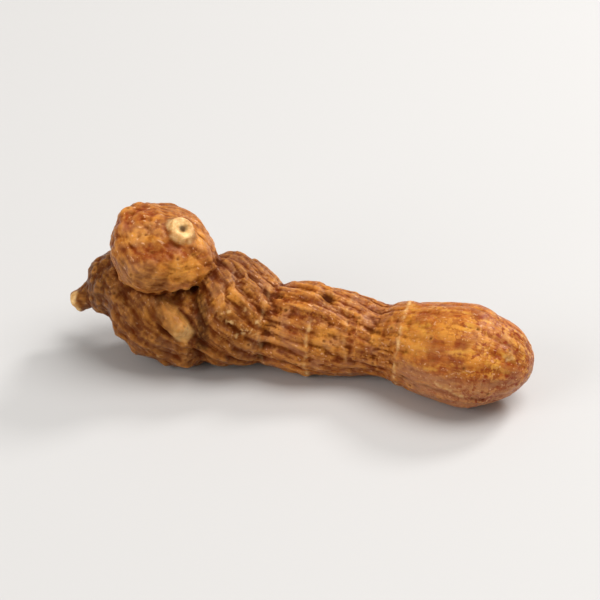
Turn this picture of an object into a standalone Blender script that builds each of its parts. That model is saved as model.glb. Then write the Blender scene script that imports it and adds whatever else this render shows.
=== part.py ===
"""A dried Solomon's seal root: one knobbly rhizome, lying as it dried on its tray.

The root grew as a single piece. A thick body runs to a blunt growing tip, an old head is swollen
beside it, and on the head stands a shoot base that still shows the round scar of its stem.
X runs along the root towards the growing tip, Y away from the side it is seen from, Z up.
"""

import math

import bmesh
import bpy
from mathutils import Matrix, Vector, noise

# Lengths are in millimetres up to the point where a mesh is made.
MM = 0.001
NODE = "solomons_seal_root"
SKIN_COLOUR = (0.342, 0.143, 0.043, 1.0)
SKIN_ROUGHNESS = 0.55

# A station is a point of the axis, the half width across, the half height, and how deep the furrows are.
BODY = (
    (-18.2, 2.1, 11.2, 6.0, 5.8, 0.60),
    (-15.4, 1.6, 10.4, 8.0, 7.4, 0.80),
    (-12.9, 0.7, 8.7, 9.2, 8.1, 0.95),
    (-10.2, 0.8, 7.9, 9.0, 7.7, 1.00),
    (-8.0, 0.9, 7.2, 8.1, 7.0, 1.00),
    (-6.0, 1.1, 6.6, 6.9, 6.2, 0.95),
    (-3.1, 0.6, 6.8, 7.1, 6.6, 1.05),
    (0.6, 0.5, 7.0, 7.2, 6.8, 1.05),
    (3.9, 0.9, 6.8, 6.7, 6.2, 0.82),
    (7.9, 1.2, 6.5, 6.1, 5.8, 0.58),
    (11.4, 1.0, 6.4, 5.7, 5.2, 0.46),
    (14.7, 0.4, 6.8, 6.4, 6.2, 0.42),
    (18.4, -0.6, 7.0, 7.2, 7.0, 0.36),
    (22.8, -1.8, 7.5, 8.0, 7.5, 0.34),
    (26.2, -2.2, 7.4, 8.2, 7.4, 0.38),
    (29.6, -2.0, 6.9, 6.7, 5.9, 0.42),
    (34.4, -1.4, 5.6, 5.6, 4.6, 0.35),
)
HEAD = (
    (-34.9, 0.0, 8.9, 2.2, 2.3, 0.40),
    (-33.4, 0.1, 9.2, 3.6, 3.8, 0.50),
    (-31.0, 0.1, 9.9, 5.2, 5.6, 0.60),
    (-28.4, 0.0, 10.4, 6.4, 6.6, 0.75),
    (-25.5, -0.6, 9.7, 7.2, 7.4, 0.80),
    (-22.3, -1.4, 7.9, 7.6, 7.2, 0.80),
    (-19.1, -1.6, 7.0, 7.4, 7.1, 0.70),
    (-16.4, -1.6, 6.8, 6.8, 6.7, 0.60),
    (-12.9, -1.8, 6.6, 4.9, 4.6, 0.40),
)
SHOOT = (
    (-20.8, 2.4, 6.5, 5.4, 5.2, 0.30),
    (-21.3, 1.4, 10.6, 4.8, 5.0, 0.40),
    (-22.0, 0.5, 14.8, 5.8, 6.1, 0.60),
    (-22.3, -0.6, 17.9, 7.9, 8.2, 0.50),
    (-21.0, -1.4, 20.3, 6.8, 7.1, 0.36),
    (-19.7, -2.2, 23.1, 4.3, 4.5, 0.10),
)

# Each end rounds off over this length, at its start and at its finish.
BODY_ENDS = (3.6, 5.4)
HEAD_ENDS = (1.8, 3.6)
SHOOT_ENDS = (3.0, 3.2)

# As it dried the skin shrank into ridges that run along the root and wind slowly round it. Part of their
# relief is a set number of ridges that wander and crowd, and part is loose furrows that start and stop.
RIDGES_ROUND = 18
RIDGE_WANDER = 1.7
RIDGE_WANDER_LENGTH = 7.0
RIDGE_SHARE = 0.65
TWIST_PER_MM = 0.045
TWISTED_LENGTH = 30.0
FURROW_SPACING = 2.7
FINE_SPACING = 1.5
FURROW_STRETCH = 7.5
FURROW_SPAN = 0.45
FURROW_EDGE = 1.4
FINE_SHARE = 0.25
MEAN_FURROW = 0.45
LUMP_SPACING = 9.0
LUMP_HEIGHT = 0.50

# A yearly ring is a raised line round the body, with a shallow groove beside it: where, and how strong.
RINGS = ((-5.8, 0.5), (0.3, 1.0), (6.9, 0.5), (14.4, 1.0))
RING_HEIGHT = 0.20
RING_WIDTH = 0.40
RING_GROOVE = 0.18

# Where the rootlets broke away they left low round scars: some in plain view, others on a seeded spiral.
# A scar in view is given by its place along the body, and its turn from the far side over the top.
SCARS_IN_VIEW = ((7.2, 118.0), (8.3, 140.0), (8.7, 163.0), (-10.9, 122.0), (15.9, 150.0), (30.4, 128.0))
SPIRAL_SCARS = 18
SCAR_RADIUS = 0.85
SCAR_HEIGHT = 0.42
SCAR_DIMPLE = 0.34
GOLDEN_ANGLE = math.pi * (3.0 - math.sqrt(5.0))

# On the top a deep pit ends the longest furrow, and a broken line of crust runs along the shoulder.
PIT_AT = (3.0, 102.0)
PIT_RADIUS = 0.85
PIT_DEPTH = 1.0
PIT_RIM = 0.15
CRUST_ENDS = ((-12.6, 149.0), (-7.4, 165.0))
CRUST_HEIGHT = 0.45
CRUST_WIDTH = 0.55

# The head is rough, with folds across it, and the shoot is dented, with faint rings round its scar.
HEAD_RIDGE_SHARE = 0.55
HEAD_ROUGHNESS = 0.75
HEAD_ROUGH_SPACING = 3.0
HEAD_FOLD = 0.35
HEAD_FOLD_SPACING = 1.9
HEAD_FOLD_STRETCH = 3.0
SHOOT_DENT = 0.85
SHOOT_DENT_SPACING = 3.1
SHOOT_RING_DEPTH = 0.20
SHOOT_RINGS_PER_MM = 2.1 / math.pi
SHOOT_RINGS_FROM_SCAR = 6.0

# Stumps: the points of each axis, its radius at the base and at the broken end, and whether that is cupped.
STEM_SCAR = (((-20.2, -1.0, 20.4), (-19.4, -1.7, 22.1), (-18.5, -2.4, 23.8)), 2.6, 2.1, True)
HEAD_TIP = (((-32.6, 0.0, 9.8), (-35.0, -0.2, 7.9), (-36.8, -0.5, 6.7)), 2.1, 1.6, True)
NUB = (((-21.9, -5.4, 11.9), (-19.3, -8.0, 10.8), (-17.1, -9.1, 9.2)), 1.4, 1.65, False)
ROOTLETS = (
    (((-14.0, 8.2, 5.8), (-14.6, 10.9, 4.8), (-15.4, 12.6, 3.6)), 1.5, 1.05, True),
    (((1.6, 5.4, 4.6), (2.2, 8.2, 3.8), (2.0, 10.0, 2.9)), 1.3, 0.95, True),
    (((-27.0, 4.4, 9.0), (-28.6, 7.2, 9.9), (-29.4, 8.8, 10.8)), 1.4, 1.0, True),
    (((21.6, 3.6, 5.6), (22.8, 6.2, 5.0), (24.2, 7.6, 4.4)), 1.2, 0.85, True),
)
STUMP_SIDES = 16
STUMP_RINGS = 12
STUMP_UNEVENNESS = 0.14
STUMP_CUP_DEPTH = 0.9
STUMP_LIP = 0.62
STUMP_TIP_FROM = 0.8

# The skin is sampled finely and then thinned to this many faces, which keeps the furrows' edges.
BODY_GRID = (170, 150)
HEAD_GRID = (120, 64)
SHOOT_GRID = (112, 72)
SKIN_GRAIN = 0.28
KEPT_TRIANGLES = 11200
SUNK = 0.35
FLAT_BELOW = 0.02

TURN = 2.0 * math.pi


def on_curve(points, share):
    """The values at this share of the way along, on the Catmull-Rom curve through the points."""
    last = len(points) - 1
    place = min(max(share, 0.0), 1.0) * last
    step = min(int(place), last - 1)
    t = place - step
    before, start, end, after = (
        points[min(max(step + offset, 0), last)] for offset in (-1, 0, 1, 2)
    )
    return tuple(
        0.5 * (2 * b + (c - a) * t + (2 * a - 5 * b + 4 * c - d) * t**2 + (3 * b - a - 3 * c + d) * t**3)
        for a, b, c, d in zip(before, start, end, after)
    )


def rounded(distance, length):
    """A quarter circle that opens an end over this length."""
    if distance >= length:
        return 1.0
    return math.sqrt(max(0.0, 1.0 - (1.0 - distance / length) ** 2))


def bump(distance, width):
    """One at no distance, fading smoothly to nothing a few widths away."""
    return math.exp(-((distance / width) ** 2))


def furrow_depth(place, spacing, stretch):
    """How deep a furrow is at a place given as (along, across, up): one in its bottom, nothing between."""
    along, across, up = place
    value = noise.noise(Vector((along / (spacing * stretch), across / spacing, up / spacing)))
    return (1.0 - min(1.0, abs(value) / FURROW_SPAN)) ** FURROW_EDGE


def between_ridges(along, angle, shift):
    """The same for furrows between a set number of ridges, which wander and crowd as they run."""
    place = Vector((along / RIDGE_WANDER_LENGTH, 1.5 * math.cos(angle), 1.5 * math.sin(angle) + shift))
    return 1.0 - abs(math.sin(0.5 * RIDGES_ROUND * angle + RIDGE_WANDER * noise.noise(place)))


def wrinkled(along, angle, girth, depth, shift):
    """The skin's height over the smooth form: long furrows, finer ones between them, and soft lumps."""
    angle -= TWIST_PER_MM * min(along, TWISTED_LENGTH)
    across = girth * math.cos(angle)
    up = girth * math.sin(angle)
    main = RIDGE_SHARE * between_ridges(along, angle, shift)
    main += (1.0 - RIDGE_SHARE) * furrow_depth((along + shift, across, up), FURROW_SPACING, FURROW_STRETCH)
    fine = furrow_depth((along - shift, across + shift, up), FINE_SPACING, FURROW_STRETCH)
    lump = noise.noise(Vector((along / LUMP_SPACING, across / LUMP_SPACING, up / LUMP_SPACING + shift)))
    return LUMP_HEIGHT * lump + depth * (MEAN_FURROW - main - FINE_SHARE * fine)


def swept_skin(stations, ends, grid, relief):
    """A closed skin round the stations' axis, in a bmesh. Its columns start on the Y side."""
    columns, rings = grid
    shares = [0.5 * (1.0 - math.cos(math.pi * i / rings)) for i in range(rings + 1)]
    rows = [on_curve(stations, share) for share in shares]
    centres = [Vector(row[:3]) for row in rows]
    travelled = [0.0]
    for first, second in zip(centres, centres[1:]):
        travelled.append(travelled[-1] + (second - first).length)
    skin = bmesh.new()
    loops = []
    for i, (row, centre, along) in enumerate(zip(rows, centres, travelled)):
        tangent = (centres[min(i + 1, rings)] - centres[max(i - 1, 0)]).normalized()
        side = Vector((0.0, 1.0, 0.0))
        side = (side - side.dot(tangent) * tangent).normalized()
        lift = tangent.cross(side)
        opening = rounded(along, ends[0]) * rounded(travelled[-1] - along, ends[1])
        if i in (0, rings):
            tip = centre + tangent * relief(along, 0.0, 0.0, row, centre) * (1 if i else -1)
            loops.append([skin.verts.new(tip * MM)])
            continue
        loop = []
        for column in range(columns):
            angle = TURN * column / columns
            outward = side * (row[3] * math.cos(angle)) + lift * (row[4] * math.sin(angle))
            girth = opening * outward.length
            height = relief(along, angle, girth, row, centre + outward * opening)
            endward = tangent if i > rings / 2 else -tangent
            direction = (outward.normalized() * opening + endward * (1.0 - opening)).normalized()
            loop.append(skin.verts.new((centre + outward * opening + direction * height) * MM))
        loops.append(loop)
    join_loops(skin, loops)
    return skin


def join_loops(skin, loops):
    """Faces between each loop of points and the next. A loop of one point is a tip."""
    for lower, upper in zip(loops, loops[1:]):
        count = max(len(lower), len(upper))
        for k in range(count):
            after = (k + 1) % count
            if len(lower) == 1:
                skin.faces.new((lower[0], upper[after], upper[k]))
            elif len(upper) == 1:
                skin.faces.new((lower[k], lower[after], upper[0]))
            else:
                skin.faces.new((lower[k], lower[after], upper[after], upper[k]))
    bmesh.ops.recalc_face_normals(skin, faces=skin.faces)


def place_on(stations, along, degrees):
    """The point of the smooth form at this X, turned from the far side over the top."""
    share = next(i / 400 for i in range(401) if on_curve(stations, i / 400)[0] >= along)
    row = on_curve(stations, share)
    angle = math.radians(degrees)
    return Vector(row[:3]) + Vector((0.0, row[3] * math.cos(angle), row[4] * math.sin(angle)))


def scar_places():
    """Where the body's rootlet scars are: those in view, and a spiral that winds from end to end."""
    places = [place_on(BODY, *scar) for scar in SCARS_IN_VIEW]
    first, last = BODY[1][0], BODY[-2][0]
    for number in range(SPIRAL_SCARS):
        along = first + (last - first) * (number + 0.5) / SPIRAL_SCARS
        jitter = noise.noise(Vector((number * 3.7, 0.5, 0.0)))
        places.append(place_on(BODY, along, math.degrees(number * GOLDEN_ANGLE + jitter) % 360.0))
    return places


def body_relief():
    """The body's skin: furrows, yearly rings, rootlet scars, one deep pit and a line of crust."""
    scars = scar_places()
    pit = place_on(BODY, *PIT_AT)
    crust_from, crust_to = (place_on(BODY, *end) for end in CRUST_ENDS)
    crust_way = crust_to - crust_from

    def relief(along, angle, girth, row, point):
        height = wrinkled(along, angle, girth, row[5], 0.0)
        for number, (at, strength) in enumerate(RINGS):
            lean = 0.06 * point.z * math.sin(number * 2.4) + 0.05 * point.y * math.cos(number * 1.7)
            distance = point.x - at - lean
            height += strength * RING_HEIGHT * bump(distance, RING_WIDTH)
            height -= strength * RING_GROOVE * bump(distance - 3 * RING_WIDTH, 1.5 * RING_WIDTH)
        for scar in scars:
            distance = (point - scar).length
            height += SCAR_HEIGHT * bump(distance, SCAR_RADIUS)
            height -= SCAR_DIMPLE * bump(distance, 0.4 * SCAR_RADIUS)
        distance = (point - pit).length
        height += PIT_RIM * bump(distance - 2 * PIT_RADIUS, PIT_RADIUS)
        height -= PIT_DEPTH * bump(distance, PIT_RADIUS)
        share = min(max((point - crust_from).dot(crust_way) / crust_way.length_squared, 0.0), 1.0)
        distance = (point - crust_from - share * crust_way).length
        broken = 0.7 + 0.6 * noise.noise(point / 0.9)
        return height + CRUST_HEIGHT * broken * bump(distance, CRUST_WIDTH)

    return relief


def head_relief(along, angle, girth, row, point):
    """The old head is rougher, and its wrinkles run round it as much as along it."""
    height = wrinkled(along, angle, girth, HEAD_RIDGE_SHARE * row[5], 7.3)
    height += HEAD_ROUGHNESS * noise.noise(point / HEAD_ROUGH_SPACING + Vector((4.0, 0.0, 0.0)))
    fold = furrow_depth((point.y, point.x, 3.0), HEAD_FOLD_SPACING, HEAD_FOLD_STRETCH)
    return height + HEAD_FOLD * (0.5 - fold)


def shoot_relief(along, angle, girth, row, point):
    """The shoot base is fuller and softly dented, with faint rings round its tip."""
    distance = (point - Vector(STEM_SCAR[0][-1])).length
    height = wrinkled(along, angle, girth, row[5], 15.1)
    height += SHOOT_DENT * noise.noise(point / SHOOT_DENT_SPACING) * (1.0 - bump(distance, 2.5))
    ring = math.sin(math.pi * SHOOT_RINGS_PER_MM * distance) ** 8
    return height - SHOOT_RING_DEPTH * ring * bump(distance - SHOOT_RINGS_FROM_SCAR, 3.5)


def stump_skin(points, base_radius, end_radius, cupped):
    """A rootlet's stump, sunk well into the root. A cupped one ends in a shallow hollow."""
    skin = bmesh.new()
    loops = []
    for i in range(STUMP_RINGS + 1):
        share = i / STUMP_RINGS
        centre = Vector(on_curve(points, share))
        ahead = Vector(on_curve(points, min(1.0, share + 0.05)))
        behind = Vector(on_curve(points, max(0.0, share - 0.05)))
        turn = (ahead - behind).to_track_quat("Z", "Y")
        radius = base_radius + (end_radius - base_radius) * share
        if not cupped and share > STUMP_TIP_FROM:
            radius *= math.sqrt(1.0 - 0.7 * ((share - STUMP_TIP_FROM) / (1.0 - STUMP_TIP_FROM)) ** 2)
        loop = []
        for k in range(STUMP_SIDES):
            angle = TURN * k / STUMP_SIDES
            outward = Vector((math.cos(angle), math.sin(angle), 0.0))
            uneven = 1.0 + STUMP_UNEVENNESS * noise.noise(3 * outward + Vector((0.0, 0.0, centre.x + share)))
            loop.append(skin.verts.new((centre + turn @ outward * radius * uneven) * MM))
        loops.append(loop)
    inward = (Vector(points[-1]) - Vector(points[-2])).normalized()
    centre = Vector(points[-1])
    if cupped:
        lip = [centre + (vert.co / MM - centre) * STUMP_LIP for vert in loops[-1]]
        loops.append([skin.verts.new(point * MM) for point in lip])
        floor = [centre + (point - centre) * 0.8 - inward * STUMP_CUP_DEPTH for point in lip]
        loops.append([skin.verts.new(point * MM) for point in floor])
        loops.append([skin.verts.new((centre - inward * STUMP_CUP_DEPTH) * MM)])
    else:
        loops.append([skin.verts.new((centre + inward * 0.5 * end_radius) * MM)])
    loops.insert(0, [skin.verts.new(Vector(points[0]) * MM)])
    join_loops(skin, loops)
    return skin


def to_object(name, skin, collection):
    mesh = bpy.data.meshes.new(name)
    skin.to_mesh(mesh)
    skin.free()
    made = bpy.data.objects.new(name, mesh)
    collection.objects.link(made)
    return made


def with_modifiers_applied(root):
    """Turns what the modifiers make of the root into its own mesh."""
    bpy.context.view_layer.update()
    evaluated = root.evaluated_get(bpy.context.evaluated_depsgraph_get())
    root.data = bpy.data.meshes.new_from_object(evaluated)
    root.modifiers.clear()


def joined_to(root, grown):
    """Fuses the collection's shapes into the root, and removes them. EXACT leaves stray edges here."""
    union = root.modifiers.new("grown together", "BOOLEAN")
    union.operation = "UNION"
    union.operand_type = "COLLECTION"
    union.collection = grown
    union.solver = "MANIFOLD"
    with_modifiers_applied(root)
    for shape in list(grown.objects):
        bpy.data.objects.remove(shape)
    bpy.data.collections.remove(grown)


def evenly_meshed(root):
    """Gives the fused skin an even mesh, which also rounds the creases where the shapes meet."""
    remesh = root.modifiers.new("even skin", "REMESH")
    remesh.mode = "VOXEL"
    remesh.voxel_size = SKIN_GRAIN * MM
    with_modifiers_applied(root)


def thinned(root):
    """Thins the skin to the kept number of triangles, most where it is smoothest."""
    root.data.calc_loop_triangles()
    decimate = root.modifiers.new("thinned", "DECIMATE")
    decimate.ratio = KEPT_TRIANGLES / len(root.data.loop_triangles)
    with_modifiers_applied(root)


def moved(root, x, y, z):
    root.data.transform(Matrix.Translation((x, y, z)))


def dried_flat(root):
    """Presses flat what would reach below the tray, which leaves the spots that the root rests on."""
    for vert in root.data.vertices:
        if vert.co.z < FLAT_BELOW * MM:
            vert.co.z = 0.0


def centred(root):
    """Moves the mesh so that the origin is under the middle of its box."""
    points = [vert.co for vert in root.data.vertices]
    middle = [0.5 * (min(p[axis] for p in points) + max(p[axis] for p in points)) for axis in (0, 1)]
    moved(root, -middle[0], -middle[1], 0.0)


def skin_material():
    material = bpy.data.materials.new("dried_skin")
    material.use_nodes = True
    shader = material.node_tree.nodes["Principled BSDF"]
    shader.inputs["Base Color"].default_value = SKIN_COLOUR
    shader.inputs["Roughness"].default_value = SKIN_ROUGHNESS
    shader.inputs["Metallic"].default_value = 0.0
    return material


def main():
    for thing in list(bpy.data.objects):
        bpy.data.objects.remove(thing)
    scene = bpy.context.scene.collection
    grown = bpy.data.collections.new("grown on")
    scene.children.link(grown)
    root = to_object(NODE, swept_skin(BODY, BODY_ENDS, BODY_GRID, body_relief()), scene)
    to_object("old_head", swept_skin(HEAD, HEAD_ENDS, HEAD_GRID, head_relief), grown)
    to_object("shoot_base", swept_skin(SHOOT, SHOOT_ENDS, SHOOT_GRID, shoot_relief), grown)
    for number, stump in enumerate((STEM_SCAR, HEAD_TIP, NUB, *ROOTLETS)):
        to_object(f"stump_{number}", stump_skin(*stump), grown)
    joined_to(root, grown)
    evenly_meshed(root)
    moved(root, 0.0, 0.0, -SUNK * MM)
    dried_flat(root)
    thinned(root)
    dried_flat(root)
    centred(root)
    root.data.materials.clear()
    root.data.materials.append(skin_material())
    root.data.shade_smooth()


main()
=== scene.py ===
"""The looks of a dried Solomon's seal root, lying on a pale table under soft light."""

import math

import bmesh
import bpy
import numpy as np
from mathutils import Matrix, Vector, noise


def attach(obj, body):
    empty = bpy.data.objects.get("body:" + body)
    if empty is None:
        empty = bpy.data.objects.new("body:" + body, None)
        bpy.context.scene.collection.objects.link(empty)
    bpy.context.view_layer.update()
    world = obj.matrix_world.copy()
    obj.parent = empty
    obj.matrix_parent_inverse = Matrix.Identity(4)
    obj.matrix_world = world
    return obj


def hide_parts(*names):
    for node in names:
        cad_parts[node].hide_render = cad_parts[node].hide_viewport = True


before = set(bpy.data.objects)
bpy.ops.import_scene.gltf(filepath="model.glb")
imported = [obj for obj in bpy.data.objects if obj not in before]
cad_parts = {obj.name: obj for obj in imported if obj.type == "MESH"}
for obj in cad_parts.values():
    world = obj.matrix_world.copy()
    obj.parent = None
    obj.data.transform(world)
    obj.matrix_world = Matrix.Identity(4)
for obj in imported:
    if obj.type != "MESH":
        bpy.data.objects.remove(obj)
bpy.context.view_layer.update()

# The root: one dried rhizome, starchy flesh in a thin skin of cork. It grew as a single piece, but its parts
# each grew along an axis of their own: the body with its blunt tip, the swollen old head, and the shoot base
# that carries the stem scar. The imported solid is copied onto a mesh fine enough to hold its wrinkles.
MM = 0.001
NODE = "solomons_seal_root"
MERGED_WITHIN = 0.001
MESH_GRAIN = 0.25
FACET_SMOOTHING = 7

# Points of each axis in millimetres, with the girth there. The last is where the skin closes.
BODY_AXIS = (
    (-16.7, 0.8, 10.8, 5.9), (-13.9, 0.3, 10.1, 7.7), (-11.4, -0.6, 8.3, 8.6), (-8.7, -0.5, 7.6, 8.3),
    (-6.5, -0.4, 6.9, 7.5), (-4.5, -0.2, 6.2, 6.6), (-1.6, -0.7, 6.5, 6.8), (2.1, -0.8, 6.7, 7.0),
    (5.4, -0.4, 6.5, 6.5), (9.4, -0.1, 6.2, 5.9), (12.9, -0.3, 6.1, 5.5), (16.2, -0.9, 6.5, 6.3),
    (19.9, -1.9, 6.7, 7.1), (24.3, -3.1, 7.2, 7.8), (27.7, -3.5, 7.1, 7.8), (31.1, -3.3, 6.6, 6.3),
    (35.9, -2.7, 5.2, 5.1),
)
HEAD_AXIS = (
    (-33.4, -1.3, 8.6, 2.2), (-31.9, -1.2, 8.9, 3.7), (-29.5, -1.2, 9.6, 5.4), (-26.9, -1.3, 10.1, 6.5),
    (-24.0, -1.9, 9.3, 7.3), (-20.8, -2.7, 7.6, 7.4), (-17.6, -2.9, 6.7, 7.2), (-14.9, -2.9, 6.5, 6.8),
    (-11.4, -3.1, 6.2, 4.8),
)
SHOOT_AXIS = (
    (-19.3, 1.1, 6.2, 5.3), (-19.8, 0.1, 10.3, 4.9), (-20.5, -0.8, 14.5, 6.0), (-20.8, -1.9, 17.5, 8.0),
    (-19.5, -2.7, 20.0, 7.0), (-18.2, -3.5, 22.8, 4.4),
)
# An axis is sampled evenly, and the sample beside a point is sought among every fourth. The skin counts as
# closing within this share of its girth, and the sharpness says how fast one branch gives way to another.
AXIS_SAMPLES = 200
SAMPLES_SKIPPED = 4
BESIDE_SAMPLE = 1.0
CLOSING_SHARE = 0.8
BRANCH_SHARPNESS = 9.0
TWIST_PER_MM = 0.045
TWISTED_LENGTH = 30.0
BRANCH_SHIFT = 60.0
ROUND_SHOOT_STRETCH = 6.0


def copied_node(node, name):
    """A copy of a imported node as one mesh: its triangles come loose, so their corners are merged."""
    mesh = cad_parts[node].data.copy()
    mesh.materials.clear()
    shape = bmesh.new()
    shape.from_mesh(mesh)
    bmesh.ops.remove_doubles(shape, verts=shape.verts, dist=MERGED_WITHIN * MM)
    shape.to_mesh(mesh)
    shape.free()
    piece = bpy.data.objects.new(name, mesh)
    bpy.context.scene.collection.objects.link(piece)
    return piece


def settled(piece):
    """Turns what a piece's modifiers make of it into its own plain mesh."""
    bpy.context.view_layer.update()
    evaluated = piece.evaluated_get(bpy.context.evaluated_depsgraph_get())
    piece.data = bpy.data.meshes.new_from_object(evaluated)
    piece.modifiers.clear()


def places(mesh):
    """The mesh's points in millimetres, one row each."""
    flat = np.empty(len(mesh.vertices) * 3)
    mesh.vertices.foreach_get("co", flat)
    return flat.reshape(-1, 3) / MM


def put(mesh, name, values):
    """Keeps values on the mesh's points under a name that the nodes can read."""
    kind = "FLOAT_VECTOR" if values.ndim == 2 else "FLOAT"
    field = mesh.attributes.new(name, kind, "POINT")
    field.data.foreach_set("vector" if values.ndim == 2 else "value", values.astype(np.float32).ravel())


def along_axis(points, axis):
    """Each point's way along an axis, its turn round it, the girth there, and its distance in girths.

    Past the ends, where the skin closes, the girth shrinks with the skin.
    """
    stations = np.array(axis)
    steps = np.linalg.norm(np.diff(stations[:, :3], axis=0), axis=1)
    reached = np.concatenate(([0.0], np.cumsum(steps)))
    lengths = np.linspace(0.0, reached[-1], AXIS_SAMPLES)
    curve = np.column_stack([np.interp(lengths, reached, column) for column in stations.T])
    middle, girth = curve[:, :3], curve[:, 3]
    ahead = np.gradient(middle, axis=0)
    ahead /= np.linalg.norm(ahead, axis=1, keepdims=True)
    side = np.array([0.0, 1.0, 0.0]) - ahead[:, 1:2] * ahead
    side /= np.linalg.norm(side, axis=1, keepdims=True)
    lift = np.cross(ahead, side)
    gaps = points[:, None, :] - middle[None, ::SAMPLES_SKIPPED, :]
    nearest = (gaps**2).sum(axis=2).argmin(axis=1) * SAMPLES_SKIPPED
    offset = points - middle[nearest]
    far = (offset * ahead[nearest]).sum(axis=1)
    across = (offset * side[nearest]).sum(axis=1)
    up = (offset * lift[nearest]).sum(axis=1)
    out = np.sqrt(across**2 + up**2)
    past = np.maximum(0.0, np.abs(far) - BESIDE_SAMPLE)
    return (
        lengths[nearest] + far,
        np.arctan2(up, across),
        np.minimum(girth[nearest], out / CLOSING_SHARE),
        np.sqrt(across**2 + up**2 + past**2) / girth[nearest],
    )


def ramp(values, start, end):
    """Rises smoothly from nothing at the start to one at the end."""
    share = np.clip((values - start) / (end - start), 0.0, 1.0)
    return share * share * (3.0 - 2.0 * share)


root = copied_node(NODE, "root_skin")
remesh = root.modifiers.new("even skin", "REMESH")
remesh.mode = "VOXEL"
remesh.voxel_size = MESH_GRAIN * MM
soften = root.modifiers.new("no facets", "SMOOTH")
soften.factor = 0.5
soften.iterations = FACET_SMOOTHING
settled(root)

# The grain of the skin, in millimetres along it and across it. It runs along the body and the head with a
# slow twist, and round the shoot base, and each branch has its own stretch of the patterns.
skin_at = places(root.data)
x, y, z = skin_at.T
branches = [along_axis(skin_at, axis) for axis in (BODY_AXIS, HEAD_AXIS, SHOOT_AXIS)]
closeness = np.exp(-BRANCH_SHARPNESS * np.array([branch[3] for branch in branches]))
closeness /= closeness.sum(axis=0)
on_body, on_head, on_shoot = closeness
branch_here = closeness.argmax(axis=0)
rows = np.arange(len(skin_at))
along, turn, girth = (np.array([branch[k] for branch in branches])[branch_here, rows] for k in range(3))
untwisted = turn - TWIST_PER_MM * np.minimum(along, TWISTED_LENGTH)
lengthwise = np.column_stack((
    along + BRANCH_SHIFT * branch_here, girth * np.cos(untwisted), girth * np.sin(untwisted)
))
around = np.column_stack((girth * np.cos(turn), girth * np.sin(turn) / ROUND_SHOOT_STRETCH, along))
put(root.data, "grain", np.where((branch_here == 2)[:, None], around, lengthwise))

# The bulb is the swollen growing tip, and the shoulder the end of the body beside the head.
BULB_BEGINS = (13.5, 19.0)
SHOULDER_ENDS = (-9.0, -1.0)
bulb = on_body * ramp(x, *BULB_BEGINS)
shoulder = on_body * (1.0 - ramp(x, *SHOULDER_ENDS))

# Places on the root that the skin's colour and relief follow, in millimetres. Patches have a radius, and
# rings a strength and a height above which they end.
STEM_SCAR_AT = (-17.0, -3.7, 23.4)
STEM_SCAR_FACING = (0.440, -0.342, 0.831)
SCAR_REACH = (2.4, 3.4)
SCAR_PALE_ENDS = (1.8, 2.7)
SCAR_PIT_ENDS = (0.4, 1.0)
SCAR_RIM_RADIUS = 1.6
SCAR_RIM_WIDTH = 0.6
NUB = ((-20.4, -6.7, 11.5), (-17.8, -9.3, 10.5), (-15.6, -10.4, 8.9))
# The crease on the right of the nub, where it meets the head, is darkened along this line as painted shade.
NUB_CREASE = (
    (-14.3, -6.8, 13.2), (-13.4, -8.2, 12.3), (-13.1, -9.1, 10.8), (-12.9, -9.5, 8.8), (-12.9, -9.4, 6.8),
)
TIP_RIM = ((-35.3, -2.4, 8.2), (-35.3, -3.2, 6.9), (-34.7, -3.1, 5.8))
PIT = ((4.5, -1.9, 12.6),)
PINK_SCAR = ((33.2, -7.6, 10.6),)
# Pale flecks along a crease on the shoulder: slightly raised crust, whose pale colour is partly a painted
# highlight.
CRUST_AND_GLINTS = ((-10.6, -8.7, 12.0), (-8.9, -8.8, 11.2), (-6.8, -8.8, 9.9), (-4.8, -7.6, 9.1))
# The fold on the lower flank is a real groove in the relief, and the dark line painted along it is painted
# shade.
FOLD = ((17.5, -8.0, 5.0), (22.0, -10.1, 5.3), (26.0, -11.1, 4.9), (30.0, -10.4, 4.2))
FOLD_HALF_WIDTH = 0.35
# A short pale stripe on the front of the growing tip's lower flank is a painted highlight.
FLANK_HIGHLIGHT = ((23.0, -11.0, 6.5), (24.1, -11.3, 6.1), (25.5, -11.5, 5.7), (27.1, -11.4, 5.1))
ROOTLET_ENDS = ((-13.9, 11.3, 3.2), (3.5, 8.7, 2.5), (-27.9, 7.5, 10.4), (25.7, 6.3, 4.0))
RINGS = ((-4.3, 0.25, 20.0), (2.2, 1.0, 9.8), (8.4, 0.3, 20.0), (15.9, 1.0, 20.0))
RING_HALF_WIDTH = 0.22
RING_FADES_OVER = 2.0
RING_LEAN_UP = 0.06
RING_LEAN_ACROSS = 0.05
RING_WAVER = 0.35
RING_WAVER_SIZE = 2.6
RING_WHOLE = 0.60
RING_BREAKS = 2.6
RING_BREAK_SIZE = 1.0
RING_BREAK_SEED = 7.0
GOLDEN_PATCHES = (
    ((-23.6, -6.2, 22.3), 2.0), ((-16.2, -7.2, 18.0), 2.8), ((-15.5, -2.2, 20.6), 1.9),
    ((-8.8, -6.5, 14.3), 1.5), ((-10.9, -7.4, 13.4), 1.6), ((-2.5, -7.0, 9.1), 1.9), ((5.9, -6.6, 8.6), 2.8),
    ((12.3, -5.2, 9.1), 1.3), ((18.9, -7.7, 11.2), 3.0), ((23.9, -7.4, 13.7), 2.6), ((29.4, -7.2, 13.0), 1.6),
    ((28.5, -10.3, 10.8), 1.5), ((8.0, 5.0, 9.5), 3.0), ((-21.0, 5.5, 17.0), 3.0),
)
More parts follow.
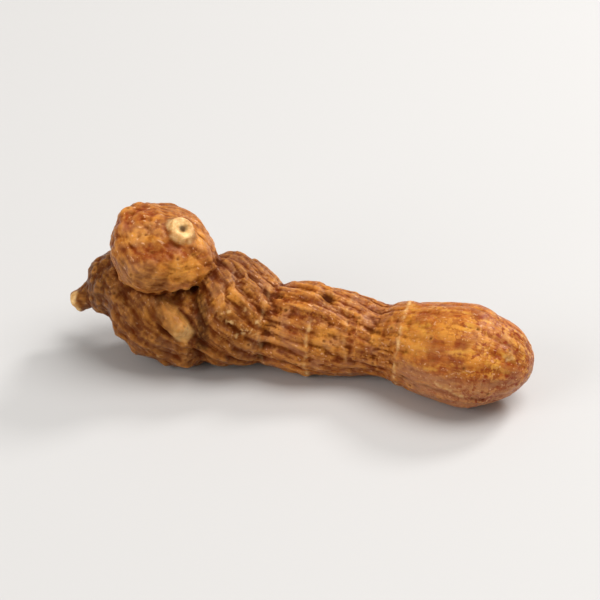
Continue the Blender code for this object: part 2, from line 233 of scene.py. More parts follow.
RED_PATCHES = (
    ((-23.6, -8.2, 20.2), 1.7), ((-21.0, -8.0, 20.4), 1.9), ((-18.8, -7.2, 20.6), 1.8),
    ((-16.6, -6.3, 20.1), 1.5), ((-23.8, -2.4, 23.9), 2.4), ((-26.0, -4.0, 22.8), 2.2),
    ((9.3, -5.8, 9.0), 1.5), ((0.2, -6.4, 9.6), 1.6), ((31.8, -6.4, 12.3), 1.8), ((22.6, -10.0, 11.0), 1.6),
    ((33.8, -8.0, 9.0), 1.8), ((26.6, -9.0, 12.4), 1.3), ((28.0, -3.6, 14.6), 1.7), ((19.4, -4.0, 13.2), 1.6),
)
DULL_AND_SHADOW_PATCHES = (
    ((-24.6, -9.2, 17.4), 3.2), ((-21.4, -9.9, 17.6), 2.7), ((-19.6, -9.6, 15.6), 2.2),
    # The last dull patch, at the end of the head, is painted shadow from a neighbouring root.
    ((-30.5, -6.5, 10.0), 4.0),
)
# Painted shadow: the upper left of the head is darkened, as in the shade of a neighbouring root.
NEIGHBOUR_SHADOW_PATCHES = (((-31.0, -2.5, 12.5), 6.0),)
# Glints are painted highlights: small pale spots on ridges where light catches them.
GLINT_RADIUS = 0.34
GLINTS = (
    (-6.9, -7.1, 12.4), (-6.9, -8.5, 9.0), (-7.8, -9.0, 8.8), (-9.0, -8.4, 12.5), (-19.9, -9.3, 3.6),
    (1.9, -6.6, 7.0), (-5.0, -7.2, 10.6),
)
PATCH_ENDS = (0.4, 1.2)


def distance_to(line):
    """The distance of each point of the skin from a line of straight stretches, or from a single place."""
    nearest = np.sqrt(((skin_at - np.array(line[0])) ** 2).sum(axis=1))
    for start, end in zip(line, line[1:]):
        start, way = np.array(start), np.array(end) - np.array(start)
        share = np.clip((skin_at - start) @ way / (way @ way), 0.0, 1.0)
        gap = skin_at - start - share[:, None] * way
        nearest = np.minimum(nearest, np.sqrt((gap**2).sum(axis=1)))
    return nearest


def noise_at(size, shift=0.0):
    """Smooth noise of this size in millimetres on the skin, from about minus one to one."""
    return np.array([noise.noise(Vector(point) / size + Vector((shift, shift, shift))) for point in skin_at])


def mark(line, ragged, full, gone):
    """One near a line or place, and nothing beyond where it is gone, with a ragged edge between."""
    return 1.0 - ramp(distance_to(line) + ragged, full, gone)


def patchwork(patches, ragged):
    """How far the skin lies inside any of these round patches, whose edges the ragged noise breaks up."""
    return np.max([
        1.0 - ramp(distance_to((at,)) / radius + ragged, *PATCH_ENDS) for at, radius in patches
    ], axis=0)


mottle = noise_at(1.1)
speck = noise_at(0.5, 4.0)
from_scar = skin_at - np.array(STEM_SCAR_AT)
scar_depth = from_scar @ np.array(STEM_SCAR_FACING)
scar_out = np.sqrt(np.maximum(0.0, (from_scar**2).sum(axis=1) - scar_depth**2))
by_scar = mark((STEM_SCAR_AT,), 0.0, *SCAR_REACH)
scar_pale = by_scar * (1.0 - ramp(scar_out + 0.7 * mottle, *SCAR_PALE_ENDS))
scar_pit = by_scar * (1.0 - ramp(scar_out * (1.0 + 0.5 * noise_at(0.9, 2.0)), *SCAR_PIT_ENDS))
scar_rim = by_scar * np.exp(-(((scar_out - SCAR_RIM_RADIUS) / SCAR_RIM_WIDTH) ** 2))
nub_tan = mark(NUB, 0.3 * mottle, full=1.5, gone=1.95)
nub_end = mark(NUB[-1:], 0.4 * mottle, full=0.8, gone=2.2)
nub_crease = mark(NUB_CREASE, 0.3 * mottle, full=0.3, gone=1.6)
tip_pale = mark(TIP_RIM, 0.3 * mottle, full=0.4, gone=1.0)
rootlet_pale = np.max([mark((end,), 0.3 * mottle, full=1.0, gone=1.8) for end in ROOTLET_ENDS], axis=0)
pit_dark = mark(PIT, 0.8 * mottle, full=0.6, gone=2.2)
pink_scar = mark(PINK_SCAR, 0.7 * speck, full=0.2, gone=1.0)
crust_and_glints = mark(CRUST_AND_GLINTS, 0.5 * mottle, full=0.3, gone=0.8) * ramp(speck, 0.20, 0.40)
flank_highlight = mark(FLANK_HIGHLIGHT, 0.15 * mottle, full=0.1, gone=0.4) * ramp(speck, -0.35, 0.10)
fold = np.exp(-((distance_to(FOLD) / FOLD_HALF_WIDTH) ** 2))
golden = patchwork(GOLDEN_PATCHES, 0.35 * mottle)
red = patchwork(RED_PATCHES, 0.35 * mottle)
dull_and_shadow = patchwork(DULL_AND_SHADOW_PATCHES, 0.35 * mottle)
neighbour_shadow = patchwork(NEIGHBOUR_SHADOW_PATCHES, 0.2 * mottle)
glint = patchwork([(at, GLINT_RADIUS) for at in GLINTS], 0.9 * speck)

# Yearly rings: thin pale lines round the body, each with its own lean and waver, and broken in its own way.
ring = np.zeros(len(skin_at))
for number, (at, strength, top) in enumerate(RINGS):
    lean = RING_LEAN_UP * z * math.sin(number * 2.4) + RING_LEAN_ACROSS * y * math.cos(number * 1.7)
    off = x - at - lean - RING_WAVER * noise_at(RING_WAVER_SIZE, number)
    breaks = RING_BREAKS * noise_at(RING_BREAK_SIZE, RING_BREAK_SEED + number)
    broken = np.clip(RING_WHOLE + breaks, 0.0, 1.0)
    broken *= 1.0 - ramp(z, top, top + RING_FADES_OVER)
    ring = np.maximum(ring, strength * on_body * np.exp(-((off / RING_HALF_WIDTH) ** 2)) * broken)

# How strong each kind of relief or colour is: everywhere, and what each part of the root adds or takes away.
parts = {
    "all": 1.0, "body": on_body, "bulb": bulb, "shoulder": shoulder, "head": on_head, "shoot": on_shoot,
    "nub": nub_tan,
}
SHARES = {
    "wrinkled": {"all": 1.0, "bulb": -0.8, "shoot": -0.5, "head": -0.6},
    "lumpy": {"all": 0.35, "shoot": 0.65, "head": 0.4, "nub": 0.5},
    "crinkled": {"all": 1.0, "bulb": -0.4, "shoot": 0.35, "head": 0.2},
    "crested": {"all": 1.0, "shoulder": -0.35, "head": -0.30},
    "streaky": {"all": 1.0, "shoot": 1.0},
    "blotched": {"all": 1.0, "body": 0.3, "bulb": -0.9, "shoulder": -0.5, "shoot": 0.3},
    "mottled": {"all": 1.0, "bulb": -0.7, "shoot": -0.315},
}
share_of = {
    name: sum(share * parts[part] for part, share in shares.items()) for name, shares in SHARES.items()
}

# What stands out of the skin or lies in it, in millimetres, is given to the relief, with what is left of each
# kind of it beside the stem scar, on the underside and in regions where the skin wrinkled less.
RING_HEIGHT = 0.05
CRUST_HEIGHT = 0.05
FOLD_DEPTH = 0.22
SCAR_RIM_WEAR = 0.30
LOST_BY_SCAR = {"wrinkled": 0.9, "lumpy": 0.9, "crinkled": 0.6}
UNDERSIDE = (3.5, 7.0)
UNDERSIDE_LEAVES = 0.4
REGION_SIZE = 5.0
REGION_LEAVES = 0.45
worn = SCAR_RIM_WEAR * scar_rim * (1.0 + 0.4 * mottle)
put(root.data, "raised", (RING_HEIGHT * ring + CRUST_HEIGHT * crust_and_glints - FOLD_DEPTH * fold - worn) * MM)
for name, lost in LOST_BY_SCAR.items():
    share_of[name] *= 1.0 - lost * by_scar
share_of["wrinkled"] *= UNDERSIDE_LEAVES + (1.0 - UNDERSIDE_LEAVES) * ramp(z, *UNDERSIDE)
regions = ramp(noise_at(REGION_SIZE, 3.0), -0.4, 0.4)
share_of["wrinkled"] *= REGION_LEAVES + (1.0 - REGION_LEAVES) * regions
for name in LOST_BY_SCAR:
    put(root.data, name, share_of[name])

# As it dried the skin shrank onto the fibres inside. That drew fine furrows along the grain between the
# broad ridges, faint wrinkles across it, and left a low round scar wherever a rootlet had broken away.
# Sizes in millimetres, by the names of the tree's inputs. The grain is in millimetres, so spacings on it go
# into the tree as they are, and the rest in metres.
GRAIN_SPACINGS = {"Furrow Spacing": 0.95, "Line Spacing": 0.55, "Cross Spacing": 1.1, "Crinkle Spacing": 0.90}
RELIEF_SIZES = {
    "Furrow Depth": 0.13, "Line Depth": 0.05, "Cross Depth": 0.04, "Crinkle Height": 0.34,
    "Lump Spacing": 1.6, "Lump Height": 0.45, "Scar Gap": 5.5, "Scar Radius": 0.65, "Scar Height": 0.22,
}
# Each pattern of the relief: what it follows, how many spacings it reaches along and across, its detail, its
# roughness, and its seed. Those with a seed are drawn in noise of four dimensions, the others in three.
RELIEF_PATTERNS = {
    "Furrow": ("grain", 9.0, 1.0, 1.0, 0.5, 3.0),
    "Line": ("grain", 11.0, 1.0, 1.0, 0.5, 8.0),
    "Cross": ("grain", 0.8, 3.2, 1.0, 0.5, 21.0),
    "Lump": ("place", 1.0, 1.0, 2.0, 0.5, None),
    "Crinkle": ("grain", 1.7, 1.0, 1.0, 0.4, None),
}
# How far from the middle of its noise a furrow reaches, and how sharp its bottom is.
FURROW_SHAPES = {"Furrow": (0.13, 1.5), "Line": (0.16, 1.3), "Cross": (0.10, 1.2)}
# How narrow a rootlet scar's two rounds are, and how high they stand: the button and the hole in it.
SCAR_SHAPES = {"scar": (1.0, 1.0), "scar_hole": (5.0, -1.1)}
SCAR_DENSITY = 2.0e5
SCAR_SEED = 5


def add(tree, kind, inputs=(), out=0, **settings):
    """Adds a node with its settings, links or sets its inputs, and gives the output asked for."""
    node = tree.nodes.new(kind)
    for name, value in settings.items():
        setattr(node, name, value)
    for key, value in inputs.items() if isinstance(inputs, dict) else enumerate(inputs):
        if isinstance(value, bpy.types.NodeSocket):
            tree.links.new(value, node.inputs[key])
        else:
            node.inputs[key].default_value = value
    return node.outputs[out] if node.outputs else None


def relief_tree():
    """The tree that draws the skin's fine relief and scatters the rootlet scars over it."""
    tree = bpy.data.node_groups.new("dried skin relief", "GeometryNodeTree")
    tree.interface.new_socket("Geometry", in_out="OUTPUT", socket_type="NodeSocketGeometry")
    tree.interface.new_socket("Geometry", in_out="INPUT", socket_type="NodeSocketGeometry")
    tree.interface.new_socket("Material", in_out="INPUT", socket_type="NodeSocketMaterial")
    for name in (*GRAIN_SPACINGS, *RELIEF_SIZES):
        tree.interface.new_socket(name, in_out="INPUT", socket_type="NodeSocketFloat")
    given = tree.nodes.new("NodeGroupInput").outputs
    fields = {
        name: add(tree, "GeometryNodeInputNamedAttribute", {"Name": name}, data_type="FLOAT")
        for name in ("raised", "wrinkled", "lumpy", "crinkled")
    }
    fields["grain"] = add(
        tree, "GeometryNodeInputNamedAttribute", {"Name": "grain"}, data_type="FLOAT_VECTOR"
    )
    fields["place"] = add(tree, "GeometryNodeInputPosition")

    drawn = {}
    for name, (follows, along, across, detail, rough, seed) in RELIEF_PATTERNS.items():
        spacing = given[name + " Spacing"]
        lengthwise = add(tree, "ShaderNodeMath", [spacing, along], operation="MULTIPLY")
        crosswise = add(tree, "ShaderNodeMath", [spacing, across], operation="MULTIPLY")
        size = add(tree, "ShaderNodeCombineXYZ", [lengthwise, crosswise, crosswise])
        scaled = add(tree, "ShaderNodeVectorMath", [fields[follows], size], operation="DIVIDE")
        looks = {"Vector": scaled, "Scale": 1.0, "Detail": detail, "Roughness": rough}
        if seed:
            looks["W"] = seed
        drawn[name] = add(tree, "ShaderNodeTexNoise", looks, noise_dimensions="4D" if seed else "3D")

    sunk = 0.0
    for name, (reach, sharpness) in FURROW_SHAPES.items():
        off = add(tree, "ShaderNodeMath", [drawn[name], 0.5], operation="SUBTRACT")
        off = add(tree, "ShaderNodeMath", [off], operation="ABSOLUTE")
        furrow = add(tree, "ShaderNodeMapRange", [off, 0.0, reach, 1.0, 0.0])
        furrow = add(tree, "ShaderNodeMath", [furrow, sharpness], operation="POWER")
        sunk = add(tree, "ShaderNodeMath", [furrow, given[name + " Depth"], sunk], operation="MULTIPLY_ADD")
    sunk = add(tree, "ShaderNodeMath", [sunk, fields["wrinkled"]], operation="MULTIPLY")
    relief = add(tree, "ShaderNodeMath", [fields["raised"], sunk], operation="SUBTRACT")
    for name, share in (("Lump", "lumpy"), ("Crinkle", "crinkled")):
        swell = add(tree, "ShaderNodeMath", [drawn[name], 0.5], operation="SUBTRACT")
        swell = add(tree, "ShaderNodeMath", [swell, given[name + " Height"]], operation="MULTIPLY")
        relief = add(tree, "ShaderNodeMath", [swell, fields[share], relief], operation="MULTIPLY_ADD")

    scatter = {
        "Mesh": given["Geometry"], "Distance Min": given["Scar Gap"],
        "Density Max": SCAR_DENSITY, "Seed": SCAR_SEED,
    }
    scars = add(tree, "GeometryNodeDistributePointsOnFaces", scatter, distribute_method="POISSON")
    off = add(tree, "GeometryNodeProximity", {"Geometry": scars}, out="Distance", target_element="POINTS")
    off = add(tree, "ShaderNodeMath", [off, given["Scar Radius"]], operation="DIVIDE")
    off = add(tree, "ShaderNodeMath", [off, 2.0], operation="POWER")
    button = 0.0
    skin = given["Geometry"]
    for name, (narrowness, height) in SCAR_SHAPES.items():
        near = add(tree, "ShaderNodeMath", [off, -narrowness], operation="MULTIPLY")
        near = add(tree, "ShaderNodeMath", [near], operation="EXPONENT")
        button = add(tree, "ShaderNodeMath", [near, height, button], operation="MULTIPLY_ADD")
        kept = {"Geometry": skin, "Name": name, "Value": near}
        skin = add(tree, "GeometryNodeStoreNamedAttribute", kept, data_type="FLOAT", domain="POINT")
    relief = add(tree, "ShaderNodeMath", [button, given["Scar Height"], relief], operation="MULTIPLY_ADD")

    normal = add(tree, "GeometryNodeInputNormal")
    offset = add(tree, "ShaderNodeVectorMath", {0: normal, "Scale": relief}, operation="SCALE")
    moved = add(tree, "GeometryNodeSetPosition", {"Geometry": skin, "Offset": offset})
    real = add(tree, "GeometryNodeRealizeInstances", {"Geometry": moved})
    coated = add(tree, "GeometryNodeSetMaterial", {"Geometry": real, "Material": given["Material"]})
    add(tree, "NodeGroupOutput", [coated])
    return tree


def with_inputs(modifier, tree, values):
    """Gives a node modifier its tree and the values of its named inputs."""
    modifier.node_group = tree
    for item in tree.interface.items_tree:
        if item.in_out == "INPUT" and item.name in values:
            modifier[item.identifier] = values[item.name]


# The skin is thin brown cork, dried hard and a little waxy over starchy flesh, which gives a warm golden
# brown that lets some light in. Its furrows are painted dark reddish, partly as dark cork and partly as
# painted shade, and its crests paler, partly as rubbed cork and partly as painted highlight.
# Each pattern on it: what it follows, its size in millimetres along and across, its detail, its roughness,
# and its seed. Grit and fibre are finer than the mesh, so they are drawn as bump, and the grit, really about
# 0.1 mm, at 0.22 mm so that it shows.
SKIN_PATTERNS = {
    "patches": ("place", 6.0, 6.0, 2.0, 0.55, 0.0),
    "blotches": ("grain", 1.9, 1.4, 3.0, 0.65, 12.0),
    "streaks": ("grain", 7.0, 0.5, 2.0, 0.6, 4.0),
    "speckles": ("grain", 1.4, 0.8, 3.0, 0.6, 44.0),
    "blobs": ("grain", 2.3, 1.5, 2.0, 0.55, 73.0),
    "mottles": ("place", 1.0, 1.0, 3.0, 0.65, 61.0),
    "chalk": ("place", 3.4, 3.4, 2.0, 0.55, 91.0),
    "curls": ("grain", 1.3, 1.5, 2.0, 0.6, 9.0),
    "crowds": ("place", 2.8, 2.8, 1.0, 0.5, 47.0),
    "spots": ("grain", 1.1, 0.9, 2.0, 0.5, 51.0),
    "chips_and_glints": ("grain", 0.60, 0.42, 2.0, 0.55, 83.0),
    "creams": ("place", 1.2, 1.2, 2.0, 0.6, 17.0),
    "gloss": ("place", 1.5, 1.5, 3.0, 0.6, 25.0),
    "grit": ("place", 0.22, 0.22, 3.0, 0.6, 31.0),
    "fibre": ("grain", 3.0, 0.26, 2.0, 0.5, 37.0),
}
# What the mesh keeps for the skin: how much of each mark, colour or hollow there is at a point.
SKIN_FIELDS = (
    "on_bulb", "on_shoot", "blotched", "streaky", "mottled", "golden", "red", "dull_and_shadow", "flank", "weathered_and_shaded",
    "crest", "hollow", "crease", "flecked", "tan", "pale", "dark", "scar", "scar_hole",
)
PLAIN_SKIN = "#924B18"
# Colours that vary from one to another with a pattern, between two values of it: the tan of the rootlet
# stubs, and the cream of scar tissue.
BLENDS = {
    "stub_tan": ("patches", 0.4, 0.6, "#A46828", "#DCA45A"),
    "scar_cream": ("creams", 0.35, 0.65, "#C08A4C", "#F8D092"),
}
# Each coat of colour over those before it: the pattern or field that draws it, the values of that from
# which and to which it grows, its strength there, a field that it is weighted by, and its colour.
COATS = (
    # The growing tip is more golden than the body, and the shoot base a little paler.
    ("on_bulb", 0.0, 1.0, 1.0, None, "#B05A1B"),
    ("on_shoot", 0.0, 1.0, 1.0, None, "#96501C"),
    # Patches of 6 mm where the cork is thinner and the flesh shows golden, or thicker and redder.
    ("patches", 0.50, 0.70, 0.70, None, "#BA7023"),
    ("patches", 0.47, 0.33, 0.65, None, "#6E2F10"),
    # Blotches 1.4 mm wide, a little drawn out along the grain.
    ("blotches", 0.52, 0.63, 0.55, None, "#D28328"),
    ("blotches", 0.48, 0.37, 0.55, "blotched", "#682404"),
    # Streaks of fibre, 0.5 mm wide and many times as long, twice as clear on the shoot base.
    ("streaks", 0.53, 0.70, 0.22, "streaky", "#5A2408"),
    ("streaks", 0.46, 0.32, 0.28, "streaky", "#D29044"),
    # Fine speckles of gold all over the growing tip, and blobs of 2 mm, golden or red-brown.
    ("speckles", 0.52, 0.62, 0.60, "on_bulb", "#D28E34"),
    ("blobs", 0.53, 0.62, 0.60, "on_bulb", "#E0A240"),
    ("blobs", 0.47, 0.38, 0.60, "on_bulb", "#8A3E10"),
    # Larger patches: golden where the cork is rubbed thin, reddish, dull grey-brown, or pinkish on the flank.
    # The dull patch at the end of the head is painted shadow.
    ("golden", 0.0, 1.0, 1.0, None, "#DC923A"),
    ("red", 0.0, 1.0, 1.0, None, "#8A380E"),
    ("dull_and_shadow", 0.0, 1.0, 0.68, None, "#7C4E28"),
    ("flank", 0.0, 1.0, 0.80, None, "#AC7450"),
    # Mottling of 1 mm, tan and reddish, weaker on the growing tip and the shoot.
    ("mottles", 0.52, 0.63, 0.45, "mottled", "#D08C40"),
    ("mottles", 0.48, 0.37, 0.50, "mottled", "#70300C"),
    # Patches of 3 mm where the cork is pinkish and chalky.
    ("chalk", 0.53, 0.64, 0.50, "mottled", "#AA7250"),
    # The old head and the shoulder beside it are weathered to a duller, deeper brown, and the same brown is
    # painted as shade on the upper left of the head and in the crease beside the nub.
    ("weathered_and_shaded", 0.0, 1.0, 1.0, None, "#4E280C"),
    # Crests are paler, partly rubbed cork and partly painted highlight, and hollows and creases darker,
    # partly dark cork and dust and partly painted shade.
    ("crest", 0.0, 1.0, 0.7, None, "#DC9648"),
    ("hollow", 0.05, 0.8, 0.8, None, "#5E2406"),
    ("crease", 0.10, 0.9, 0.9, None, "#3A1203"),
    # Flecks: short curly red-brown lines with a few spots between, crowded towards the growing tip.
    ("flecks", 0.0, 1.0, 1.0, "flecked", "#842C0A"),
    # Pale flecks of 0.4 mm, all over but sparse: partly chipped skin and partly painted glints of light.
    ("chips_and_glints", 0.62, 0.68, 0.60, "chipped_and_glinting", "#E8B48A"),
    # Rootlet stubs are rubbed to a golden tan, scar tissue and crust are cream, and the same cream is painted
    # as highlights on ridges and on the flank. Pits are nearly black, and the same dark is painted as shade
    # along the fold and in the crease beside the nub.
    ("tan", 0.0, 1.0, 1.0, None, "stub_tan"),
    ("pale", 0.0, 1.0, 1.0, None, "scar_cream"),
    ("scar", 0.3, 0.9, 0.40, None, "#B87A3C"),
    ("pits_and_painted_shade", 0.0, 1.0, 1.0, None, "#220B03"),
)
CURL_EDGES = (0.010, 0.065)
CURL_STRENGTH = 0.8
CROWD_EDGES = (0.44, 0.56)
SPOT_EDGES = (0.56, 0.66)
# From one value of a field or pattern to another, this goes from the third number to the fourth.
PALE_FLECKS_LOST_IN_HOLLOWS = (0.0, 0.3, 1.0, 0.0)
PALE_FLECKS_LOST_WHERE_WEATHERED_AND_SHADED = (0.3, 0.6, 1.0, 0.4)
HOLES_DARKEN = (0.3, 1.0, 0.0, 0.5)
ROUGHNESS = (0.35, 0.65, 0.26, 0.44)
SHINE = (0.0, 0.6, 0.27, 0.05)
HOLLOW_ROUGHER = 0.25
GRIT_SHARE = 0.35


def linear(code):
    """An sRGB hex colour as linear values."""
    parts = [int(code[i : i + 2], 16) / 255.0 for i in (1, 3, 5)]
    return tuple(c / 12.92 if c <= 0.04045 else ((c + 0.055) / 1.055) ** 2.4 for c in parts) + (1.0,)


def dried_rhizome_skin():
    """Cork skin of a dried rhizome."""
    material = bpy.data.materials.new("dried_rhizome_skin")
    material.use_nodes = True
    tree = material.node_tree
    tree.nodes.clear()
    vectors = {
        "place": (add(tree, "ShaderNodeTexCoord", out="Object"), MM),
        "grain": (add(tree, "ShaderNodeAttribute", out="Vector", attribute_name="grain"), 1.0),
    }
    shown = {name: add(tree, "ShaderNodeAttribute", out="Fac", attribute_name=name) for name in SKIN_FIELDS}
    for name, (follows, along, across, detail, rough, seed) in SKIN_PATTERNS.items():
        vector, unit = vectors[follows]
        size = (along * unit, across * unit, across * unit)
        scaled = add(tree, "ShaderNodeVectorMath", [vector, size], operation="DIVIDE")
        looks = {"Vector": scaled, "W": seed, "Scale": 1.0, "Detail": detail, "Roughness": rough}
        shown[name] = add(tree, "ShaderNodeTexNoise", looks, noise_dimensions="4D")

    # Curls run where their noise passes its middle value, in crowds. Pale flecks, chips and painted glints,
    # are lost in hollows and on weathered skin with its painted shade. The darkest coat is the dark places,
    # with the painted shade along the fold and the nub crease, and the holes of the rootlet scars.
    off = add(tree, "ShaderNodeMath", [shown["curls"], 0.5], operation="SUBTRACT")
    off = add(tree, "ShaderNodeMath", [off], operation="ABSOLUTE")
    curls = add(tree, "ShaderNodeMapRange", [off, *CURL_EDGES, CURL_STRENGTH, 0.0])
    crowded = add(tree, "ShaderNodeMapRange", [shown["crowds"], *CROWD_EDGES, 0.0, 1.0])
    curls = add(tree, "ShaderNodeMath", [curls, crowded], operation="MULTIPLY")
    spots = add(tree, "ShaderNodeMapRange", [shown["spots"], *SPOT_EDGES, 0.0, 1.0])
    shown["flecks"] = add(tree, "ShaderNodeMath", [curls, spots], operation="MAXIMUM")
    exposed = add(tree, "ShaderNodeMapRange", [shown["hollow"], *PALE_FLECKS_LOST_IN_HOLLOWS])
    sound = add(tree, "ShaderNodeMapRange", [shown["weathered_and_shaded"], *PALE_FLECKS_LOST_WHERE_WEATHERED_AND_SHADED])
    shown["chipped_and_glinting"] = add(tree, "ShaderNodeMath", [exposed, sound], operation="MULTIPLY")
    holes = add(tree, "ShaderNodeMapRange", [shown["scar_hole"], *HOLES_DARKEN])
    shown["pits_and_painted_shade"] = add(tree, "ShaderNodeMath", [shown["dark"], holes], operation="MAXIMUM")

    blended = {}
    for name, (pattern, low, high, first, second) in BLENDS.items():
        factor = add(tree, "ShaderNodeMapRange", [shown[pattern], low, high, 0.0, 1.0])
        ends = {0: factor, 6: linear(first), 7: linear(second)}
        blended[name] = add(tree, "ShaderNodeMix", ends, out=2, data_type="RGBA")
    colour = linear(PLAIN_SKIN)
    for drawn_by, low, high, strength, weighted_by, coat in COATS:
        factor = add(tree, "ShaderNodeMapRange", [shown[drawn_by], low, high, 0.0, strength])
        if weighted_by:
            factor = add(tree, "ShaderNodeMath", [factor, shown[weighted_by]], operation="MULTIPLY")
        over = {0: factor, 6: colour, 7: blended[coat] if coat in blended else linear(coat)}
        colour = add(tree, "ShaderNodeMix", over, out=2, data_type="RGBA")

    # Hollows are rougher, and hollows, creases, pits, painted shade and weathered skin shine less.
    rough = add(tree, "ShaderNodeMapRange", [shown["gloss"], *ROUGHNESS])
    rough = add(tree, "ShaderNodeMath", [shown["hollow"], HOLLOW_ROUGHER, rough], operation="MULTIPLY_ADD")
    matt = add(tree, "ShaderNodeMath", [shown["weathered_and_shaded"], 0.5], operation="MULTIPLY")
    for name in ("hollow", "crease", "pits_and_painted_shade"):
        matt = add(tree, "ShaderNodeMath", [matt, shown[name]], operation="MAXIMUM")
    shine = add(tree, "ShaderNodeMapRange", [matt, *SHINE])
    grit_and_fibre = [shown["grit"], GRIT_SHARE, shown["fibre"]]
    height = add(tree, "ShaderNodeMath", grit_and_fibre, operation="MULTIPLY_ADD")
    bump = add(tree, "ShaderNodeBump", {"Height": height, "Strength": 0.8, "Distance": 0.15 * MM})
    cork = {
        "Base Color": colour, "Roughness": rough, "Normal": bump,
        "IOR": 1.45, "Specular IOR Level": shine, "Specular Tint": linear("#FFE6C8"),
        "Subsurface Weight": 0.12, "Subsurface Radius": (1.0, 0.35, 0.12), "Subsurface Scale": 1.8 * MM,
    }
    shader = add(tree, "ShaderNodeBsdfPrincipled", cork)
    add(tree, "ShaderNodeOutputMaterial", {"Surface": shader})
    return material


relief_values = {name: size * MM for name, size in RELIEF_SIZES.items()}
relief = root.modifiers.new("dried skin relief", "NODES")
with_inputs(relief, relief_tree(), {**GRAIN_SPACINGS, **relief_values, "Material": dried_rhizome_skin()})
settled(root)

# Hollows, crests and creases are found by how far smoothing moves the skin, in millimetres at full strength.
# Ten rounds take out the fine furrows, and ninety more the broad ones.
NEAR_ROUNDS = 10
FAR_ROUNDS = 90
FULL_HOLLOW = 0.10
FULL_CREST = 0.12
FULL_CREASE = 0.55
GOLDEN_STRENGTH = 0.68
RED_STRENGTH = 0.70
FLANK_FRONT = (6.0, 8.5)
FLANK_TOP = (7.0, 8.8)
NUB_PALES = (-19.0, -15.8)
# The flecks grow more frequent in steps along the body: how much, from where, and to where.
LEAST_FLECKED = 0.1
FLECKED_STEPS = ((0.2, 16.0, 20.0), (0.6, 21.0, 28.0))


def smoothed_places(points, ends, rounds):
    """The points after each round moves every one halfway to the middle of its neighbours."""
    first, second = ends
    count = np.bincount(np.concatenate((first, second)), minlength=len(points))[:, None]
    points = points.copy()
    for _ in range(rounds):
        middle = np.column_stack([
            np.bincount(first, points[second, k], len(points))
            + np.bincount(second, points[first, k], len(points))
            for k in range(3)
        ]) / count
        points += 0.5 * (middle - points)
    return points


final_at = places(root.data)
ends = np.empty(len(root.data.edges) * 2, dtype=np.int32)
root.data.edges.foreach_get("vertices", ends)
ends = ends.reshape(-1, 2).T
facing = np.empty(len(root.data.vertices) * 3)
root.data.vertices.foreach_get("normal", facing)
facing = facing.reshape(-1, 3)
near_smooth = smoothed_places(final_at, ends, NEAR_ROUNDS)
far_smooth = smoothed_places(near_smooth, ends, FAR_ROUNDS)
fine_dip = ((near_smooth - final_at) * facing).sum(axis=1)
broad_dip = ((far_smooth - final_at) * facing).sum(axis=1)

# The fields that colour the skin. A mark's strength stands before it.
pale_marks = (
    (1.0, scar_pale), (1.0, tip_pale), (0.6, crust_and_glints), (0.8, ring), (0.6, rootlet_pale), (0.5, flank_highlight),
    (0.7, glint), (0.5, nub_end), (0.5, pink_scar),
)
# Dark marks: the stem scar's pit and a small pit are dark in colour, while the dark along the fold and in the
# crease beside the nub is painted shade.
dark_marks = ((0.85, scar_pit), (0.35, pit_dark), (0.45, fold), (0.40, nub_crease))
# Weathering darkens the head and the shoulder; the same field also holds painted shade from a neighbouring
# root on the head and in the crease beside the nub.
weathered_and_shaded = 0.60 * on_head + 0.52 * shoulder * (1.0 - 0.8 * golden) + 0.2 * neighbour_shadow + 0.45 * nub_crease
tan = nub_tan * (0.2 + 0.55 * ramp(x, *NUB_PALES)) * (1.0 + 1.1 * mottle)
flecks_here = LEAST_FLECKED + sum(more * ramp(x, start, end) for more, start, end in FLECKED_STEPS)
colour_fields = {
    # Hollows and creases are painted darker, partly as dark cork and dust and partly as painted shade, and
    # crests paler, partly as rubbed cork and partly as painted highlight.
    "hollow": np.clip(fine_dip / FULL_HOLLOW, 0.0, 1.0),
    "crest": np.clip(-fine_dip / FULL_CREST, 0.0, 1.0) * share_of["crested"],
    "crease": np.clip(broad_dip / FULL_CREASE, 0.0, 1.0),
    "on_bulb": bulb,
    "on_shoot": on_shoot,
    "streaky": share_of["streaky"],
    "blotched": share_of["blotched"],
    "mottled": share_of["mottled"],
    "pale": np.max([strength * place for strength, place in pale_marks], axis=0),
    "dark": np.max([strength * place for strength, place in dark_marks], axis=0),
    "tan": np.clip(tan, 0.0, 0.9),
    "golden": GOLDEN_STRENGTH * golden * (1.0 + 0.25 * on_shoot),
    "red": RED_STRENGTH * red * (1.0 + 0.30 * on_shoot),
    "dull_and_shadow": dull_and_shadow,
    "flank": bulb * ramp(-y, *FLANK_FRONT) * (1.0 - ramp(z + 0.6 * mottle, *FLANK_TOP)),
    "weathered_and_shaded": np.clip(weathered_and_shaded, 0.0, 0.9),
    "flecked": on_body * flecks_here,
}
for name, values in colour_fields.items():
    put(root.data, name, values)

# The stem scar is worn softer than the skin round it, and nothing reaches under the table.
final_at += by_scar[:, None] * (0.5 * (near_smooth - final_at) + 0.4 * (far_smooth - final_at))
final_at[:, 2] = np.maximum(final_at[:, 2], 0.0)
root.data.vertices.foreach_set("co", (final_at * MM).ravel())
root.data.update()
root.data.shade_smooth()
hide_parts(NODE)
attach(root, "root")

# The table: a flat board, painted matt and pale, a little warm in tone. It is only the ground that the
# root lies on, and wide enough to fill the view.
TABLE_HALF = 0.6
TABLE_ROUGHNESS = 0.6
board = bpy.data.meshes.new("table")
corners = [(TABLE_HALF * side, TABLE_HALF * end, 0.0) for side, end in ((-1, -1), (1, -1), (1, 1), (-1, 1))]
board.from_pydata(corners, [], [(0, 1, 2, 3)])
table = bpy.data.objects.new("table", board)
bpy.context.scene.collection.objects.link(table)
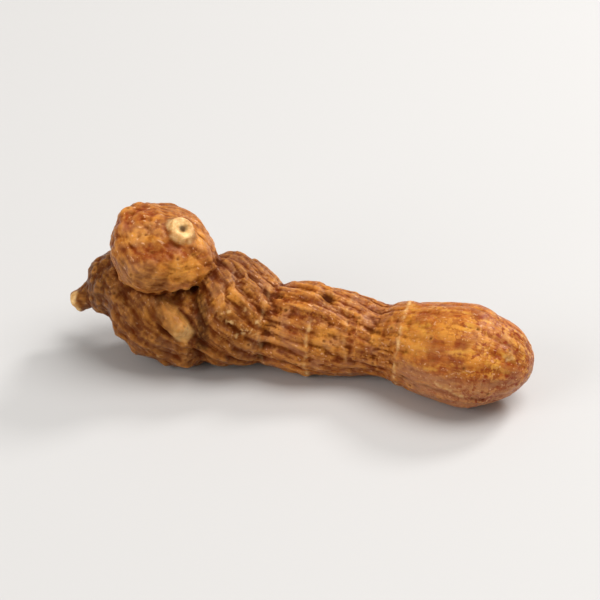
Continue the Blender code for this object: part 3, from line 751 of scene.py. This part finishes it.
# Matt paint on board: an even pale grey without any clear reflection.
table_paint = bpy.data.materials.new("matt_white_board")
table_paint.use_nodes = True
paint = table_paint.node_tree.nodes["Principled BSDF"]
paint.inputs["Base Color"].default_value = linear("#C6C4C2")
paint.inputs["Roughness"].default_value = TABLE_ROUGHNESS
board.materials.append(table_paint)

# The light: a broad soft lamp above and to the right, a small one behind the root that draws a bright rim
# on it, a weak one in front at the left, and a pale room. Each lamp has its place, size and power.
LAMP_AIM = Vector((0.0, 0.0, 0.01))
LAMPS = {
    "key": ((0.40, 0.10, 0.95), 0.80, 9.8),
    "rim": ((0.22, 0.38, 0.36), 0.14, 1.5),
    "fill": ((-0.35, -0.45, 0.30), 0.4, 1.5),
}
ROOM_STRENGTH = 0.38
for name, (lamp_at, size, power) in LAMPS.items():
    lamp = bpy.data.lights.new(name, "AREA")
    lamp.shape = "DISK"
    lamp.size = size
    lamp.energy = power
    holder = bpy.data.objects.new(name, lamp)
    bpy.context.scene.collection.objects.link(holder)
    holder.location = lamp_at
    holder.rotation_euler = (LAMP_AIM - Vector(lamp_at)).to_track_quat("-Z", "Y").to_euler()
room = bpy.data.worlds.new("room")
room.use_nodes = True
room.node_tree.nodes["Background"].inputs["Color"].default_value = linear("#F6F4F0")
room.node_tree.nodes["Background"].inputs["Strength"].default_value = ROOM_STRENGTH
bpy.context.scene.world = room
bpy.context.scene.view_settings.view_transform = "Standard"

# The camera: the photograph's viewing angle, closer, so that the root fills the frame.
AZIMUTH = math.radians(14.0)
ELEVATION = math.radians(31.0)
DISTANCE = 0.45
LENS = 180.0
NEAR_CLIP = 0.01
AIM = Vector((0.0, -0.001, 0.0115))
camera = bpy.data.objects.new("camera", bpy.data.cameras.new("camera"))
bpy.context.scene.collection.objects.link(camera)
back = Vector((
    math.sin(AZIMUTH) * math.cos(ELEVATION), -math.cos(AZIMUTH) * math.cos(ELEVATION), math.sin(ELEVATION)
))
camera.location = AIM + back * DISTANCE
camera.rotation_euler = (-back).to_track_quat("-Z", "Y").to_euler()
camera.data.lens = LENS
camera.data.clip_start = NEAR_CLIP
bpy.context.scene.camera = camera
